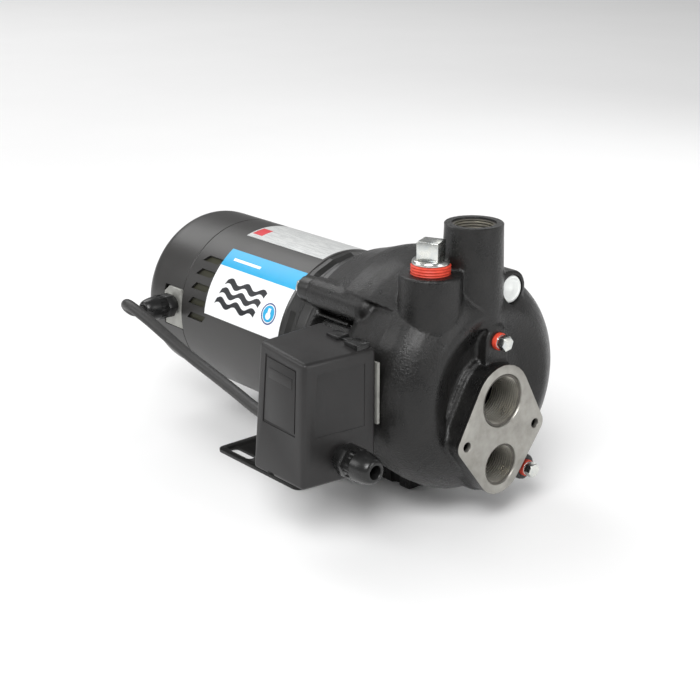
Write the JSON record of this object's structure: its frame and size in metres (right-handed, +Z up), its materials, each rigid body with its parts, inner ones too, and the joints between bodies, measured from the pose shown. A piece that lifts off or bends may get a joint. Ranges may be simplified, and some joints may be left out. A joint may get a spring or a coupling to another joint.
{
  "type": "shallow well jet pump",
  "caption": "Horizontal jet pump with a black cast iron casing, diamond suction flange, top discharge, enclosed motor and side pressure switch.",
  "frame": {"origin": "centre of the foot plate's underside, on the floor", "axes": "+X along the motor and pump axis towards the suction flange, +Z up, -Y towards the pressure switch"},
  "size_m": [0.392, 0.2565, 0.2395],
  "materials": {
    "motor_paint": "satin charcoal paint",
    "black_enamel": "semi-gloss black enamel",
    "cast_iron": "gloss black painted iron, bare machined faces",
    "zinc": "bright zinc plate",
    "black_plastic": "matt moulded plastic",
    "grey_zinc": "matt grey zinc",
    "steel": "ground steel",
    "copper": "varnished copper wire",
    "aluminium": "as cast",
    "rubber": "matt rubber",
    "ceramic": "polished ceramic",
    "engineered_plastic": "glass filled plastic",
    "sealant": "thread sealant",
    "white_plastic": "moulded white",
    "brass": "turned"
  },
  "bodies": {
    "pump_body": {"motor_shell": "motor_paint", "rear_cap": "motor_paint", "front_bell": "black_enamel", "mounting_ring": "black_enamel", "base_plate": "black_enamel", "foot_bracket": "black_enamel", "pump_casing": "cast_iron", "seal_plate": "cast_iron", "through_bolt_1": "zinc", "through_bolt_2": "zinc", "through_bolt_3": "zinc", "through_bolt_4": "zinc", "ring_bolt_1": "zinc", "ring_bolt_2": "zinc", "ring_bolt_3": "zinc", "ring_bolt_4": "zinc", "foot_bolt_1": "zinc", "foot_bolt_2": "zinc", "range_stud": "zinc", "rear_access_plug": "black_plastic", "motor_gland_body": "black_plastic", "motor_gland_dome": "black_plastic", "start_capacitor": "black_plastic", "switch_cover": "black_plastic", "switch_gland_body": "black_plastic", "switch_gland_dome": "black_plastic", "lead_gland_body": "black_plastic", "lead_gland_dome": "black_plastic", "contact_block": "black_plastic", "terminal_plate": "grey_zinc", "switch_diaphragm": "grey_zinc", "switch_base": "grey_zinc", "stator_core": "steel", "rear_bearing": "steel", "front_bearing": "steel", "switch_nipple": "steel", "range_spring": "steel", "rear_winding": "copper", "front_winding": "copper", "rear_bell": "aluminium", "casing_gasket": "rubber", "motor_lead": "rubber", "seal_seat": "ceramic", "diffuser": "engineered_plastic", "range_nut": "brass"},
    "rotor": {"motor_shaft": "steel", "rotor_core": "steel", "cooling_fan": "black_plastic", "impeller": "engineered_plastic", "seal_head": "rubber", "seal_spring": "steel"},
    "governor": {"governor_spool": "black_plastic"},
    "contact_lever": {"contact_lever": "zinc"},
    "priming_plug": {"priming_plug": "zinc", "priming_plug_sealant": "sealant"},
    "gauge_plug": {"gauge_plug": "zinc", "gauge_plug_sealant": "sealant"},
    "drain_plug": {"drain_plug": "zinc", "drain_plug_sealant": "sealant"},
    "regulator_cap": {"regulator_port_cap": "white_plastic"}
  },
  "joints": [
    {"name": "rotor_spin", "type": "hinge", "parent": "pump_body", "child": "rotor", "pos_m": [0, 0, 0.11], "axis": [1, 0, 0], "continuous": true},
    {"name": "governor_slide", "type": "slide", "parent": "rotor", "child": "governor", "axis": [1, 0, 0], "range_m": [0, 0.002], "stiffness_N_per_m": 400},
    {"name": "lever_rock", "type": "hinge", "parent": "pump_body", "child": "contact_lever", "pos_m": [0.134, -0.1064, 0.1195], "axis": [1, 0, 0], "range_deg": [0, 1.5], "stiffness_Nm_per_rad": 2},
    {"name": "priming_plug_out", "type": "slide", "parent": "pump_body", "child": "priming_plug", "axis": [0, 0, 1], "range_m": [0, 0.03]},
    {"name": "gauge_plug_out", "type": "slide", "parent": "pump_body", "child": "gauge_plug", "axis": [1, 0, 0], "range_m": [0, 0.02]},
    {"name": "drain_plug_out", "type": "slide", "parent": "pump_body", "child": "drain_plug", "axis": [1, 0, 0], "range_m": [0, 0.02]},
    {"name": "regulator_cap_out", "type": "slide", "parent": "pump_body", "child": "regulator_cap", "axis": [1, 0, 0], "range_m": [0, 0.018]}
  ]
}
